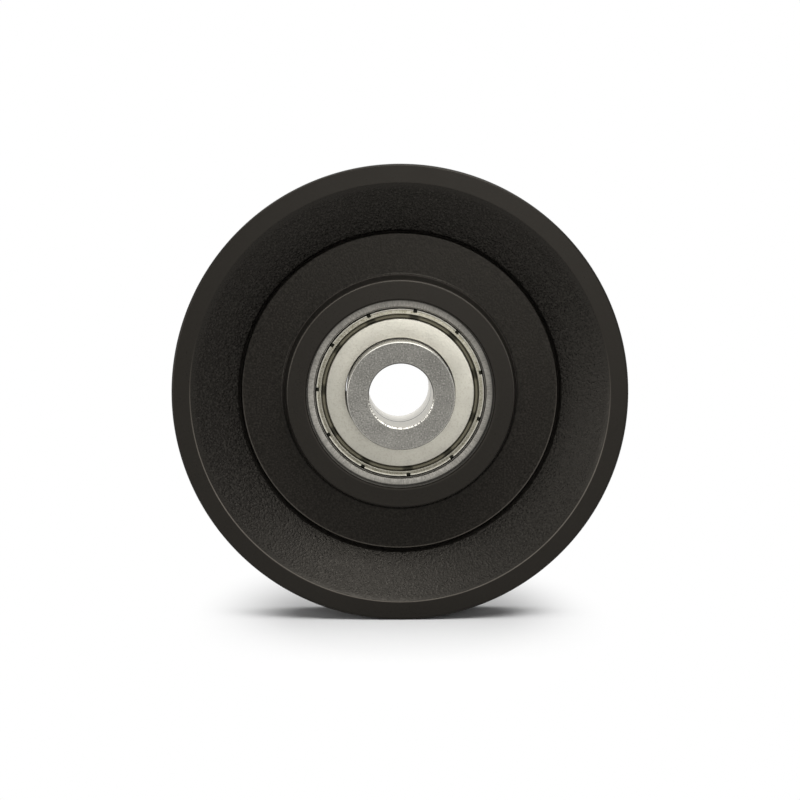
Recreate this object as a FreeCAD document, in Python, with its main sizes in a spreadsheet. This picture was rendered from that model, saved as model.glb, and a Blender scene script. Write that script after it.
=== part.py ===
import FreeCAD, Part
import os

import Sketcher

# Rope pulley: a moulded wheel with a rope groove, turning on a shielded ball bearing
# that two flanged bushes carry on the axle.
#
# Frame: the wheel's axis is Y and the part is symmetric about the plane y = 0.
# The origin is the middle of the axle bore, +Z is up, and the face shown in the
# photograph looks towards -Y. Lengths are millimetres and angles are degrees.

# Driving sizes. Each one is a cell of the sheet "size" under this name.
SIZES = {
    # Wheel
    "wheel_diameter": 75.0,
    "wheel_width": 14.0,
    "rim_face_width": 3.1,
    "rim_edge_radius": 0.5,
    "rim_inner_radius": 0.3,
    # Rope groove: a vee with a round bottom
    "groove_depth": 7.7,
    "groove_bottom_radius": 2.7,
    "groove_angle": 45.0,
    # Web between rim and hub, with a sharp crease where the dish starts
    "root_backing": 2.9,
    "web_thickness": 4.5,
    "crease_width": 0.85,
    "crease_depth": 1.1,
    "crease_edge_radius": 0.15,
    # Hub round the bearing, with a lip that holds the outer ring on both sides
    "hub_length": 16.5,
    "hub_wall": 2.6,
    "hub_flare": 0.85,
    "hub_edge_radius": 0.35,
    "hub_foot_radius": 0.5,
    "lip_height": 0.6,
    "lip_chamfer": 0.35,
    # Bearing rings
    "bearing_outer_diameter": 32.0,
    "bearing_bore": 12.0,
    "bearing_width": 10.0,
    "ring_corner_radius": 0.6,
    "bore_corner_radius": 0.4,
    "race_allowance": 0.12,
    "race_depth": 0.9,
    "land_step": 0.15,
    "land_length": 1.6,
    "shield_seat_width": 1.07,
    "shield_seat_depth": 1.0,
    # Balls: their diameter over the geometric mean of the rings' section and width
    "ball_share": 0.5953,
    "ball_count": 7,
    "ball_clearance": 0.05,
    # Ribbon cage and its rivets
    "cage_sheet": 0.45,
    "cage_gap": 0.7,
    "pocket_clearance": 0.1,
    "rivet_diameter": 0.9,
    "rivet_head_diameter": 1.5,
    "rivet_head_height": 0.35,
    # Shields: flat, pressed channel, bead and curled edge, from the hole outwards
    "shield_sheet": 0.3,
    "shield_setback": 0.25,
    "shield_hole_gap": 0.28,
    "shield_lip_length": 0.5,
    "shield_edge_gap": 0.15,
    "channel_slope": 0.2,
    "channel_width": 0.6,
    "channel_floor_gap": 0.05,
    "bead_slope": 0.3,
    "bead_width": 0.6,
    "bead_edge_radius": 0.12,
    "curl_slope": 0.15,
    "notch_count": 11,
    "notch_width": 0.5,
    "notch_length": 0.5,
    "first_notch_angle": 10.5,
    # Flanged bushes
    "bush_wall": 0.8,
    "flange_length": 7.0,
    "flange_height": 2.8,
    "flange_bevel": 0.45,
    "axle_chamfer": 0.35,
    "joint_chamfer": 0.12,
    "sleeve_chamfer": 0.3,
}

# Places worked out from the driving sizes. Each one is a cell of the sheet "place".
PLACES = {
    # Bearing
    "bearing_half": "size.bearing_width / 2",
    "seat_radius": "size.bearing_outer_diameter / 2",
    "sleeve_radius": "size.bearing_bore / 2",
    "pitch_radius": "(size.bearing_outer_diameter + size.bearing_bore) / 4",
    "ring_section": "seat_radius - sleeve_radius",
    "ball_diameter": "size.ball_share * sqrt(ring_section * size.bearing_width)",
    "ball_radius": "ball_diameter / 2",
    "race_radius": "ball_radius + size.race_allowance",
    "outer_race_bottom": "pitch_radius + ball_radius + size.ball_clearance",
    "inner_race_bottom": "pitch_radius - ball_radius - size.ball_clearance",
    "outer_shoulder": "outer_race_bottom - size.race_depth",
    "inner_shoulder": "inner_race_bottom + size.race_depth",
    "inner_land": "inner_shoulder - size.land_step",
    "recess_radius": "outer_shoulder + size.shield_seat_width",
    "seat_face": "bearing_half - size.shield_seat_depth",
    "ball_step_angle": "360 / size.ball_count",
    # Cage
    "cage_inner": "inner_shoulder + size.cage_gap",
    "cage_outer": "outer_shoulder - size.cage_gap",
    "pocket_radius": "ball_radius + size.pocket_clearance",
    "dome_radius": "pocket_radius + size.cage_sheet",
    "rivet_radius": "size.rivet_diameter / 2",
    "rivet_head": "size.cage_sheet + size.rivet_head_height",
    # Shield, from the hole outwards
    "shield_hole": "inner_land + size.shield_hole_gap",
    "shield_edge": "recess_radius - size.shield_edge_gap",
    "edge_inside": "shield_edge - size.shield_sheet",
    "notch_start": "shield_edge - size.notch_length",
    "bead_outer": "shield_edge - size.curl_slope",
    "bead_inner": "bead_outer - size.bead_width",
    "channel_outer": "bead_inner - size.bead_slope",
    "channel_inner": "channel_outer - size.channel_width",
    "flat_outer": "channel_inner - size.channel_slope",
    "channel_floor": "size.shield_seat_depth - size.shield_sheet - size.channel_floor_gap",
    # Wheel, from the hub outwards
    "lip_radius": "seat_radius - size.lip_height",
    "hub_half": "size.hub_length / 2",
    "hub_face": "seat_radius + size.hub_wall",
    "hub_foot": "hub_face + size.hub_flare",
    "web_half": "size.web_thickness / 2",
    "wheel_half": "size.wheel_width / 2",
    "wheel_radius": "size.wheel_diameter / 2",
    "groove_root": "wheel_radius - size.groove_depth",
    "groove_centre": "groove_root + size.groove_bottom_radius",
    "dish_foot": "groove_root - size.root_backing",
    "crease_inner": "dish_foot - size.crease_width",
    "crease_middle": "dish_foot - size.crease_width / 2",
    "crease_floor": "web_half - size.crease_depth",
    "rim_inner": "wheel_radius - size.rim_face_width",
    "groove_vertex": "groove_centre - size.groove_bottom_radius / sin(size.groove_angle / 2 * 1 deg)",
    "groove_mouth": "(wheel_radius - groove_vertex) * tan(size.groove_angle / 2 * 1 deg)",
    "mouth_land": "wheel_half - groove_mouth",
    # Bushes
    "axle_radius": "sleeve_radius - size.bush_wall",
    "flange_radius": "sleeve_radius + size.flange_height",
    "bush_face": "bearing_half + size.flange_length",
}

# The largest share of a wall that the rounding of one of its edges may take.
EDGE_SHARE = 0.45
TOLERANCE = 1e-4
Y_AXIS_TURN = FreeCAD.Rotation(FreeCAD.Vector(1, 0, 0), -90)


def fill_sheets(doc):
    """Writes the driving sizes and the places worked out from them."""
    size_sheet = doc.addObject("Spreadsheet::Sheet", "size")
    for row, (alias, value) in enumerate(SIZES.items(), 1):
        size_sheet.set(f"A{row}", alias)
        size_sheet.set(f"B{row}", str(value))
        size_sheet.setAlias(f"B{row}", alias)
    doc.recompute()
    place_sheet = doc.addObject("Spreadsheet::Sheet", "place")
    for row, (alias, formula) in enumerate(PLACES.items(), 1):
        place_sheet.set(f"A{row}", alias)
        place_sheet.setAlias(f"B{row}", alias)
        place_sheet.set(f"B{row}", "=" + formula)
    doc.recompute()
    return size_sheet, place_sheet


def origin_feature(body, role):
    """The body's own origin plane or axis, such as XY_Plane."""
    return next(feature for feature in body.Origin.OriginFeatures if feature.Role == role)


def new_sketch(body, name, plane):
    sketch = body.newObject("Sketcher::SketchObject", name)
    sketch.AttachmentSupport = [(origin_feature(body, plane), "")]
    sketch.MapMode = "FlatFace"
    return sketch


def pin_point(sketch, geometry, point, across, up):
    """Fixes one point of the sketch at two expressions, measured from the sketch's origin."""
    for kind, expression in (("DistanceX", across), ("DistanceY", up)):
        value = float(sketch.evalExpression(expression))
        number = sketch.addConstraint(Sketcher.Constraint(kind, -1, 1, geometry, point, value))
        sketch.setExpression(f"Constraints[{number}]", expression)


def outline(body, name, corners, plane="XY_Plane"):
    """A closed outline of straight lines whose corners are pairs of expressions."""
    sketch = new_sketch(body, name, plane)
    points = []
    for across, up in corners:
        place = (float(sketch.evalExpression(across)), float(sketch.evalExpression(up)))
        points.append(FreeCAD.Vector(*place, 0))
    count = len(corners)
    for index in range(count):
        sketch.addGeometry(Part.LineSegment(points[index], points[(index + 1) % count]))
    for index in range(count):
        following = (index + 1) % count
        sketch.addConstraint(Sketcher.Constraint("Coincident", index, 2, following, 1))
    for index, (across, up) in enumerate(corners):
        pin_point(sketch, index, 1, across, up)
    return sketch


def both_sides(half, middle=()):
    """A full outline from its rear half: the front is the same turned over, with minus signs."""
    front = [(radius, f"-({along})") for radius, along in half]
    return front + list(middle) + list(reversed(half))


def turned(body, sketch, name):
    """The outline turned once round the Y axis."""
    feature = body.newObject("PartDesign::Revolution", name)
    feature.Profile = (sketch, [""])
    feature.ReferenceAxis = (sketch, ["V_Axis"])
    feature.Angle = 360
    sketch.Visibility = False
    body.Document.recompute()
    return feature


def check_cut(before, after):
    """Stops the build when a cut took nothing away."""
    if after.Shape.Volume > before.Shape.Volume - TOLERANCE:
        raise ValueError(f"{after.Name} cuts nothing")


def ring_edges(shape, rings):
    """Names of the round edges about the Y axis, given as pairs of radius and place along it."""
    names = []
    for number, edge in enumerate(shape.Edges, 1):
        if not isinstance(edge.Curve, Part.Circle):
            continue
        for radius, along in rings:
            same_radius = abs(edge.Curve.Radius - radius) < TOLERANCE
            if same_radius and abs(edge.Curve.Center.y - along) < TOLERANCE:
                names.append(f"Edge{number}")
    if len(names) < len(rings):
        raise ValueError("an edge to round is missing")
    return names


def rounded(body, name, radius, corners):
    """Rounds the ring edges at these corners, pairs of expressions, with one radius."""
    base = body.Tip
    rings = [tuple(float(body.evalExpression(part)) for part in corner) for corner in corners]
    feature = body.newObject("PartDesign::Fillet", name)
    feature.Base = (base, ring_edges(base.Shape, rings))
    feature.setExpression("Radius", radius)
    body.Document.recompute()
    return feature


def front_and_rear(radius, along):
    """The same corner on both sides of the plane y = 0."""
    return [(radius, along), (radius, f"-({along})")]


def new_body(doc, label):
    body = doc.addObject("PartDesign::Body", label)
    body.Label = label
    return body


def mirrored(doc, label, source):
    """The same piece on the other side of the plane y = 0."""
    piece = doc.addObject("Part::Mirroring", label)
    piece.Label = label
    piece.Source = source
    piece.Base = FreeCAD.Vector(0, 0, 0)
    piece.Normal = FreeCAD.Vector(0, 1, 0)
    return piece


def make_wheel(doc):
    """Rim, rope groove, dished flanks, web and hub in one moulding."""
    body = new_body(doc, "pulley_wheel")
    half = [
        ("place.seat_radius", "place.bearing_half"),
        ("place.lip_radius", "place.bearing_half"),
        ("place.lip_radius", "place.hub_half - size.lip_chamfer"),
        ("place.lip_radius + size.lip_chamfer", "place.hub_half"),
        ("place.hub_face", "place.hub_half"),
        ("place.hub_foot", "place.web_half"),
        ("place.crease_inner", "place.web_half"),
        ("place.crease_middle", "place.crease_floor"),
        ("place.dish_foot", "place.web_half"),
        ("place.rim_inner", "place.wheel_half"),
        ("place.wheel_radius", "place.wheel_half"),
        ("place.wheel_radius", "place.groove_mouth"),
    ]
    section = outline(body, "wheel_section", both_sides(half, [("place.groove_vertex", "0")]))
    turned(body, section, "wheel_turned")
    rounded(body, "groove_bottom", "size.groove_bottom_radius", [("place.groove_vertex", "0")])
    rim_edges = front_and_rear("place.wheel_radius", "place.wheel_half")
    rim_edges += front_and_rear("place.wheel_radius", "place.groove_mouth")
    rim_radius = f"min(size.rim_edge_radius; {EDGE_SHARE} * place.mouth_land)"
    rounded(body, "rim_edges", rim_radius, rim_edges)
    dish_edges = front_and_rear("place.rim_inner", "place.wheel_half")
    rounded(body, "dish_edges", "size.rim_inner_radius", dish_edges)
    crease_edges = front_and_rear("place.crease_inner", "place.web_half")
    rounded(body, "crease_edges", "size.crease_edge_radius", crease_edges)
    hub_edges = front_and_rear("place.hub_face", "place.hub_half")
    rounded(body, "hub_edges", "size.hub_edge_radius", hub_edges)
    hub_feet = front_and_rear("place.hub_foot", "place.web_half")
    rounded(body, "hub_feet", "size.hub_foot_radius", hub_feet)
    return body


def cut_race(body, name, centre):
    """The ball's track: a circle turned round the axis and taken out of the ring."""
    base = body.Tip
    sketch = new_sketch(body, f"{name}_section", "XY_Plane")
    middle = FreeCAD.Vector(float(sketch.evalExpression(centre)), 0, 0)
    radius = float(sketch.evalExpression("place.race_radius"))
    sketch.addGeometry(Part.Circle(middle, FreeCAD.Vector(0, 0, 1), radius))
    pin_point(sketch, 0, 3, centre, "0")
    number = sketch.addConstraint(Sketcher.Constraint("Radius", 0, radius))
    sketch.setExpression(f"Constraints[{number}]", "place.race_radius")
    track = body.newObject("PartDesign::Groove", name)
    track.Profile = (sketch, [""])
    track.ReferenceAxis = (sketch, ["V_Axis"])
    track.Angle = 360
    sketch.Visibility = False
    body.Document.recompute()
    check_cut(base, track)
    return track


def make_outer_ring(doc):
    """Outer ring with its ball track and a recess for a shield on each side."""
    body = new_body(doc, "bearing_outer_ring")
    half = [
        ("place.outer_shoulder", "place.seat_face"),
        ("place.recess_radius", "place.seat_face"),
        ("place.recess_radius", "place.bearing_half"),
        ("place.seat_radius", "place.bearing_half"),
    ]
    turned(body, outline(body, "outer_ring_section", both_sides(half)), "outer_ring_turned")
    cut_race(body, "outer_race", "place.outer_race_bottom - place.race_radius")
    ring_wall = "(place.seat_radius - place.recess_radius)"
    corner_radius = f"min(size.ring_corner_radius; {EDGE_SHARE} * {ring_wall})"
    corners = front_and_rear("place.seat_radius", "place.bearing_half")
    rounded(body, "outer_ring_corners", corner_radius, corners)
    return body


def make_inner_ring(doc):
    """Inner ring with its ball track and a lower land under each shield's hole."""
    body = new_body(doc, "bearing_inner_ring")
    half = [
        ("place.inner_shoulder", "place.bearing_half - size.land_length"),
        ("place.inner_land", "place.bearing_half - size.land_length"),
        ("place.inner_land", "place.bearing_half"),
        ("place.sleeve_radius", "place.bearing_half"),
    ]
    turned(body, outline(body, "inner_ring_section", both_sides(half)), "inner_ring_turned")
    cut_race(body, "inner_race", "place.inner_race_bottom + place.race_radius")
    corners = front_and_rear("place.sleeve_radius", "place.bearing_half")
    rounded(body, "inner_ring_corners", "size.bore_corner_radius", corners)
    return body


def round_the_pitch(piece, angle):
    """Places a piece on the ball circle, at an angle clockwise from the top as the photograph shows it."""
    piece.setExpression("Placement.Base.x", f"place.pitch_radius * sin({angle} * 1 deg)")
    piece.setExpression("Placement.Base.z", f"place.pitch_radius * cos({angle} * 1 deg)")


def ball_angle(index):
    return f"({index} * place.ball_step_angle)"


def between_balls(index):
    return f"(({index} + 0.5) * place.ball_step_angle)"


def make_balls(doc):
    balls = []
    for index in range(SIZES["ball_count"]):
        ball = doc.addObject("Part::Sphere", f"ball_{index + 1}")
        ball.Label = f"ball_{index + 1}"
        ball.setExpression("Radius", "place.ball_radius")
        round_the_pitch(ball, ball_angle(index))
        balls.append(ball)
    return balls


def cylinder(doc, name, radius, length):
    """A cylinder along +Y from the plane y = 0."""
    solid = doc.addObject("Part::Cylinder", name)
    solid.setExpression("Radius", radius)
    solid.setExpression("Height", length)
    solid.Placement = FreeCAD.Placement(FreeCAD.Vector(0, 0, 0), Y_AXIS_TURN)
    return solid


def joined(doc, name, pieces):
    solid = doc.addObject("Part::MultiFuse", name)
    solid.Shapes = pieces
    return solid


def cut_away(doc, name, base, tool):
    solid = doc.addObject("Part::Cut", name)
    solid.Base = base
    solid.Tool = tool
    return solid


def spheres_on_pitch(doc, name, radius):
    """One sphere round each ball, joined into one solid set; their poles lie along Y."""
    spheres = []
    for index in range(SIZES["ball_count"]):
        sphere = doc.addObject("Part::Sphere", f"{name}_{index + 1}")
        sphere.setExpression("Radius", radius)
        sphere.Placement = FreeCAD.Placement(FreeCAD.Vector(0, 0, 0), Y_AXIS_TURN)
        round_the_pitch(sphere, ball_angle(index))
        spheres.append(sphere)
    return joined(doc, name, spheres)


def make_cage(doc):
    """The rear half of the pressed ribbon cage, and the front half as its mirror image."""
    plate = cylinder(doc, "cage_plate", "place.cage_outer", "size.cage_sheet")
    domes = spheres_on_pitch(doc, "cage_domes", "place.dome_radius")
    blank = joined(doc, "cage_blank", [plate, domes])
    outside = cylinder(doc, "cage_outside", "place.cage_outer", "place.dome_radius + size.cage_sheet")
    inside = cylinder(doc, "cage_inside", "place.cage_inner", "place.dome_radius + size.cage_sheet")
    ribbon_space = cut_away(doc, "cage_ribbon_space", outside, inside)
    ribbon = doc.addObject("Part::MultiCommon", "cage_ribbon")
    ribbon.Shapes = [blank, ribbon_space]
    pockets = spheres_on_pitch(doc, "cage_pockets", "place.pocket_radius")
    holes = []
    for index in range(SIZES["ball_count"]):
        hole = cylinder(doc, f"cage_hole_{index + 1}", "place.rivet_radius", "size.cage_sheet")
        round_the_pitch(hole, between_balls(index))
        holes.append(hole)
    openings = joined(doc, "cage_openings", [pockets] + holes)
    rear = cut_away(doc, "cage_rear", ribbon, openings)
    rear.Label = "cage_rear"
    doc.recompute()
    check_cut(ribbon, rear)
    return [mirrored(doc, "cage_front", rear), rear]


def make_rivets(doc):
    """Shank with a flat head at each end, turned round its own axis."""
    half = [
        ("place.rivet_radius", "size.cage_sheet"),
        ("size.rivet_head_diameter / 2", "size.cage_sheet"),
        ("size.rivet_head_diameter / 2", "place.rivet_head - size.rivet_head_height / 2"),
        ("place.rivet_radius", "place.rivet_head"),
        ("0", "place.rivet_head"),
    ]
    corners = list(reversed(half)) + [(radius, f"-({along})") for radius, along in half]
    rivets = []
    for index in range(SIZES["ball_count"]):
        label = f"cage_rivet_{index + 1}"
        body = new_body(doc, label)
        turned(body, outline(body, f"{label}_section", corners), f"{label}_turned")
        round_the_pitch(body, between_balls(index))
        rivets.append(body)
    return rivets


def make_shields(doc):
    """Pressed shield with a hole lip, flat, channel, bead, curled edge and crimp notches."""
    body = new_body(doc, "shield_front")
    outer_face = [
        ("place.shield_hole", "size.shield_setback + size.shield_lip_length"),
        ("place.shield_hole", "size.shield_setback"),
        ("place.flat_outer", "size.shield_setback"),
        ("place.channel_inner", "place.channel_floor"),
        ("place.channel_outer", "place.channel_floor"),
        ("place.bead_inner", "size.shield_setback"),
        ("place.bead_outer", "size.shield_setback"),
        ("place.shield_edge", "size.shield_setback + size.shield_sheet"),
        ("place.shield_edge", "size.shield_seat_depth"),
    ]
    inner_face = [
        ("place.edge_inside", "size.shield_seat_depth"),
        ("place.edge_inside", "size.shield_setback + size.shield_sheet"),
        ("place.bead_inner + size.shield_sheet / 2", "size.shield_setback + size.shield_sheet"),
        ("place.channel_outer + size.shield_sheet / 2", "place.channel_floor + size.shield_sheet"),
        ("place.channel_inner - size.shield_sheet / 2", "place.channel_floor + size.shield_sheet"),
        ("place.flat_outer - size.shield_sheet", "size.shield_setback + size.shield_sheet"),
        ("place.shield_hole + size.shield_sheet", "size.shield_setback + size.shield_sheet"),
        ("place.shield_hole + size.shield_sheet", "size.shield_setback + size.shield_lip_length"),
    ]
    corners = [(radius, f"{depth} - place.bearing_half") for radius, depth in outer_face + inner_face]
    turned(body, outline(body, "shield_section", corners), "shield_turned")
    outside = "size.shield_setback - place.bearing_half"
    rounded(body, "shield_hole_edge", "size.shield_sheet / 2", [("place.shield_hole", outside)])
    bead_edges = [("place.bead_inner", outside), ("place.bead_outer", outside)]
    rounded(body, "shield_bead_edges", "size.bead_edge_radius", bead_edges)
    cut_notches(body)
    return [body, mirrored(doc, "shield_rear", body)]


def cut_notches(body):
    """Crimp notches in the curled edge, evenly spaced round the shield."""
    base = body.Tip
    half_width = "size.notch_width / 2"
    beyond_edge = "place.recess_radius"
    corners = [
        (f"-({half_width})", "place.notch_start"),
        (half_width, "place.notch_start"),
        (half_width, beyond_edge),
        (f"-({half_width})", beyond_edge),
    ]
    notch = body.newObject("PartDesign::Pocket", "notch")
    notch.Profile = (outline(body, "notch_outline", corners, "XZ_Plane"), [""])
    notch.Midplane = True
    notch.setExpression("Length", "size.bearing_width * 2")
    body.Document.recompute()
    check_cut(base, notch)
    ring = body.newObject("PartDesign::PolarPattern", "notches")
    ring.Originals = [notch]
    ring.Axis = (origin_feature(body, "Y_Axis"), [""])
    ring.Angle = 360
    ring.setExpression("Occurrences", "size.notch_count")
    body.Tip = ring
    turn = FreeCAD.Rotation(FreeCAD.Vector(0, 1, 0), SIZES["first_notch_angle"])
    body.Placement = FreeCAD.Placement(FreeCAD.Vector(0, 0, 0), turn)
    body.setExpression("Placement.Rotation.Angle", "size.first_notch_angle * 1 deg")
    body.Document.recompute()
    check_cut(notch, ring)
    return ring


def make_bushes(doc):
    """Flanged bush: a sleeve in the inner ring and a long flange against its face."""
    body = new_body(doc, "bush_front")
    depths = [
        ("place.axle_radius + size.axle_chamfer", "place.bush_face"),
        ("place.flange_radius - size.flange_bevel", "place.bush_face"),
        ("place.flange_radius", "place.bush_face - size.flange_bevel"),
        ("place.flange_radius", "place.bearing_half"),
        ("place.sleeve_radius", "place.bearing_half"),
        ("place.sleeve_radius", "size.sleeve_chamfer"),
        ("place.sleeve_radius - size.sleeve_chamfer", "0"),
        ("place.axle_radius + size.joint_chamfer", "0"),
        ("place.axle_radius", "size.joint_chamfer"),
        ("place.axle_radius", "place.bush_face - size.axle_chamfer"),
    ]
    corners = [(radius, f"-({along})") for radius, along in depths]
    turned(body, outline(body, "bush_section", corners), "bush_turned")
    return [body, mirrored(doc, "bush_rear", body)]


def check_document(doc, pieces):
    """Stops before anything is written when an object failed or a piece isn't one sound solid."""
    for item in doc.Objects:
        if "Invalid" in item.State or "Error" in item.State:
            raise ValueError(f"{item.Name} failed: {item.State}")
    for piece in pieces:
        shape = piece.Shape
        if shape.isNull() or not shape.isValid() or len(shape.Solids) != 1:
            raise ValueError(f"{piece.Label} is not one sound solid")


def main():
    doc = FreeCAD.newDocument("rope_pulley")
    fill_sheets(doc)
    pieces = [make_wheel(doc), make_outer_ring(doc), make_inner_ring(doc)]
    pieces += make_balls(doc)
    pieces += make_cage(doc)
    pieces += make_rivets(doc)
    pieces += make_shields(doc)
    pieces += make_bushes(doc)
    doc.recompute()
    check_document(doc, pieces)
    os.makedirs("parts", exist_ok=True)
    for piece in pieces:
        piece.Shape.exportStep(f"parts/{piece.Label}.step")
        print(f"{piece.Label}: {piece.Shape.Volume:.3f} mm3")


main()
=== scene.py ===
"""Looks of a rope pulley: a moulded black wheel on a shielded ball bearing with two flanged bushes.

The wheel's axis is Y, the face of the photograph looks towards -Y and +Z is up. Lengths are metres.
"""

import logging
import math
from dataclasses import dataclass, field
from enum import Enum
from typing import Callable, Mapping, Optional, Sequence, Union

import bpy
from mathutils import Euler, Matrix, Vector


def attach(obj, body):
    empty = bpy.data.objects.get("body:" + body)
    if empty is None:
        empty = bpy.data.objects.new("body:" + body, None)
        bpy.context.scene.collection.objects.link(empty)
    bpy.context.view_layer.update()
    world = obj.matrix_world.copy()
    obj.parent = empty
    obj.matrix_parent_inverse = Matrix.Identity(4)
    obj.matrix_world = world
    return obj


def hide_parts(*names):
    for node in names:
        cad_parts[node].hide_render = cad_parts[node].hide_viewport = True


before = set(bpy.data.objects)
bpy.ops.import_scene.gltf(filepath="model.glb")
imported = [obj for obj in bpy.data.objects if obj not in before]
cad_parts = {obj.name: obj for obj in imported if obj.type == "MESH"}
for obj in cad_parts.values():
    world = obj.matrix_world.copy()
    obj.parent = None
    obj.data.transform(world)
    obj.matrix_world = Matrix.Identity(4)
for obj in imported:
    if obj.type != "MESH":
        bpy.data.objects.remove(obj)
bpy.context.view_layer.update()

log = logging.getLogger("pulley")

MM = 0.001
WHITE = (1.0, 1.0, 1.0, 1.0)

# Sizes that several pieces and finishes share

WHEEL_RADIUS = 37.5 * MM
BEARING_RADIUS = 16.0 * MM
BEARING_FACE = 5.0 * MM
SHIELD_SEAT = 1.0 * MM
NOTCH_COUNT = 11
NOTCH_PITCH = math.tau / NOTCH_COUNT
FIRST_NOTCH = math.radians(10.5)
BUSH_BORE = 5.2 * MM
BUSH_FLANGE = 8.8 * MM
BUSH_FACE = 12.0 * MM

Piece = bpy.types.Object
Socket = bpy.types.NodeSocket
Colour = tuple[float, float, float]
Span = tuple[float, float]


class Wearer(Enum):
    """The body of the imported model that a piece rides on."""

    AXLE_SIDE = "axle_side"
    WHEEL = "wheel"


class Slot(Enum):
    """The record's material slots that the new pieces follow."""

    BLACK_NYLON = "black_nylon"
    GROUND_STEEL = "ground_steel"
    POLISHED_STEEL = "polished_steel"
    SHIELD_SHEET = "shield_sheet"
    BLASTED_STEEL = "blasted_steel"


class Side(Enum):
    """Which face of the pulley a piece belongs to, as a sign along the axis."""

    FRONT = -1
    REAR = 1


class Half(Enum):
    """Which half of the wheel a painted edge highlight lies on, as a sign of the height."""

    LOWER = -1.0
    UPPER = 1.0


# Shader graphs


class Number:
    """A number that varies over a surface: arithmetic on it adds Math nodes to its graph."""

    def __init__(self, graph: "Graph", socket: Socket) -> None:
        """Keeps the graph and the output socket that carries the number."""
        self.graph = graph
        self.socket = socket

    def _math(self, operation: str, *terms: "Term") -> "Number":
        """The result of a new Math node with these terms in order."""
        node = self.graph.add("ShaderNodeMath", {"operation": operation}, dict(enumerate(terms)))
        return Number(self.graph, node.outputs[0])

    def __add__(self, other: "Term") -> "Number":
        """self + other."""
        return self._math("ADD", self, other)

    __radd__ = __add__

    def __sub__(self, other: "Term") -> "Number":
        """self - other."""
        return self._math("SUBTRACT", self, other)

    def __rsub__(self, other: "Term") -> "Number":
        """other - self."""
        return self._math("SUBTRACT", other, self)

    def __mul__(self, other: "Term") -> "Number":
        """self * other."""
        return self._math("MULTIPLY", self, other)

    def __abs__(self) -> "Number":
        """The size of self without its sign."""
        return self._math("ABSOLUTE", self)

    def root(self) -> "Number":
        """The square root."""
        return self._math("SQRT", self)

    def angle_to(self, other: "Term") -> "Number":
        """The angle whose tangent is self over other, in radians."""
        return self._math("ARCTAN2", self, other)

    def cosine(self) -> "Number":
        """The cosine of an angle in radians."""
        return self._math("COSINE", self)

    def largest(self, other: "Term") -> "Number":
        """The larger of the two."""
        return self._math("MAXIMUM", self, other)

    def ramp(self, low: float, high: float) -> "Number":
        """A smooth step from 0 at low to 1 at high; low may be the larger of the two.

        Args:
            low: where the step starts.
            high: where it ends.

        Returns:
            The step's height.
        """
        settings = {"interpolation_type": "SMOOTHSTEP"}
        inputs = {"Value": self, "From Min": low, "From Max": high, "To Min": 0.0, "To Max": 1.0}
        node = self.graph.add("ShaderNodeMapRange", settings, inputs)
        return Number(self.graph, node.outputs[0])

    def band(self, low: float, high: float, soft: float) -> "Number":
        """1 between two values and 0 outside them; each edge fades by soft to either side."""
        return self.ramp(low - soft, low + soft) * self.ramp(high + soft, high - soft)


Term = Union[Number, float]
Input = Union[Number, Socket, float, Sequence[float]]


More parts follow.
